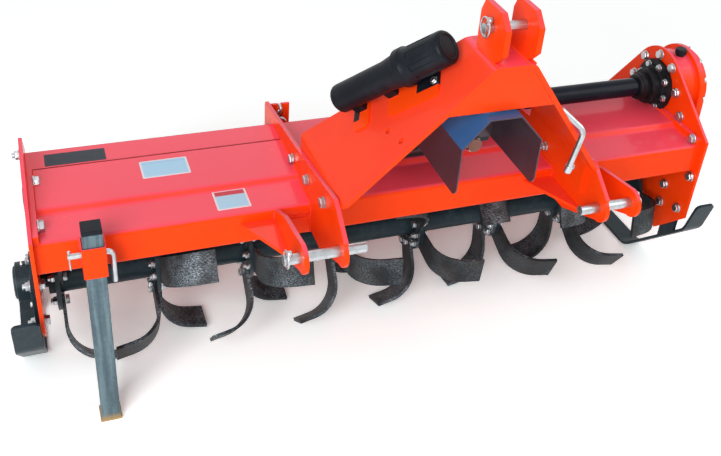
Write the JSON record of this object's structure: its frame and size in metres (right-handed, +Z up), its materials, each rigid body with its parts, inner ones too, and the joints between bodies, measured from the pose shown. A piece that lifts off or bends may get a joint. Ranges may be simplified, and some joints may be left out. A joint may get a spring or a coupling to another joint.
{
  "type": "rotary tiller for a three-point hitch",
  "caption": "Rotary tiller with a bladed rotor under a folded deck, hinged tailboard, side gear case, hitch headstock, skids and a parking leg.",
  "frame": {"origin": "on the floor under the middle of the parked machine's box", "axes": "+X to the machine's right seen from behind the tractor, across the tilling width; +Y rearwards; +Z up"},
  "size_m": [1.757, 0.825, 0.998],
  "materials": {
    "paint": "gloss orange-red",
    "dark_steel": "satin dark blue-grey",
    "blade_steel": "forged black",
    "bright_zinc": "zinc plated",
    "galvanised": "galvanised",
    "guard_sheet": "satin blue-grey",
    "black_plastic": "moulded black",
    "black_metal": "satin black",
    "tube_steel": "gloss dark navy",
    "gearbox_iron": "painted casting"
  },
  "bodies": {
    "frame": {"deck": "paint", "rear_cover": "paint", "left_end_plate": "paint", "right_end_plate": "paint", "left_end_bar": "paint", "right_end_bar": "paint", "gear_case": "paint", "left_bearing": "dark_steel", "drive_flange": "black_metal", "drive_tube": "tube_steel", "gearbox": "gearbox_iron", "input_guard": "guard_sheet", "left_main_plate": "paint", "right_main_plate": "paint", "left_outer_lug": "paint", "right_outer_lug": "paint", "hitch_gussets": "paint", "headstock": "paint", "headstock_front": "paint", "left_mast_plate": "paint", "right_mast_plate": "paint", "top_link_pin": "bright_zinc", "left_hitch_pin": "bright_zinc", "right_hitch_pin": "bright_zinc", "leg_sleeve": "paint", "leg_pin": "bright_zinc", "document_tube": "black_plastic", "tube_cap": "black_plastic", "tube_brackets": "black_plastic", "left_skid": "dark_steel", "right_skid": "dark_steel", "tail_hinge": "dark_steel", "chain_brackets": "paint", "hook_rod": "bright_zinc"},
    "input": {"input_shaft": "bright_zinc"},
    "rotor": {"rotor_tube": "dark_steel", "tine_ring_1": "blade_steel", "tine_ring_2": "blade_steel", "tine_ring_3": "blade_steel", "tine_ring_4": "blade_steel", "tine_ring_5": "blade_steel", "tine_ring_6": "blade_steel", "tine_ring_7": "blade_steel", "tine_ring_8": "blade_steel"},
    "tail": {"tailboard": "paint"},
    "chains": {"tail_chains": "bright_zinc"},
    "leg": {"park_leg": "galvanised", "leg_cap": "black_plastic"}
  },
  "joints": [
    {"name": "input_spin", "type": "hinge", "parent": "frame", "child": "input", "pos_m": [0.0615, -0.2555, 0.655], "axis": [0, -1, 0], "continuous": true},
    {"name": "rotor_spin", "type": "hinge", "parent": "frame", "child": "rotor", "pos_m": [-0.0145, 0.0385, 0.218], "axis": [1, 0, 0], "continuous": true},
    {"name": "tailboard_lift", "type": "hinge", "parent": "frame", "child": "tail", "pos_m": [-0.0145, 0.2815, 0.375], "axis": [1, 0, 0], "range_deg": [0, 50]},
    {"name": "chain_swing", "type": "hinge", "parent": "frame", "child": "chains", "pos_m": [0.0615, 0.2347, 0.478], "axis": [1, 0, 0], "range_deg": [0, 25]},
    {"name": "leg_slide", "type": "slide", "parent": "frame", "child": "leg", "axis": [0, 0, 1], "range_m": [0, 0.28]}
  ],
  "couplings": [
    {"joint": "input_spin", "follows": "rotor_spin", "ratio": 2.5},
    {"joint": "chain_swing", "follows": "tailboard_lift", "ratio": 0.5}
  ]
}
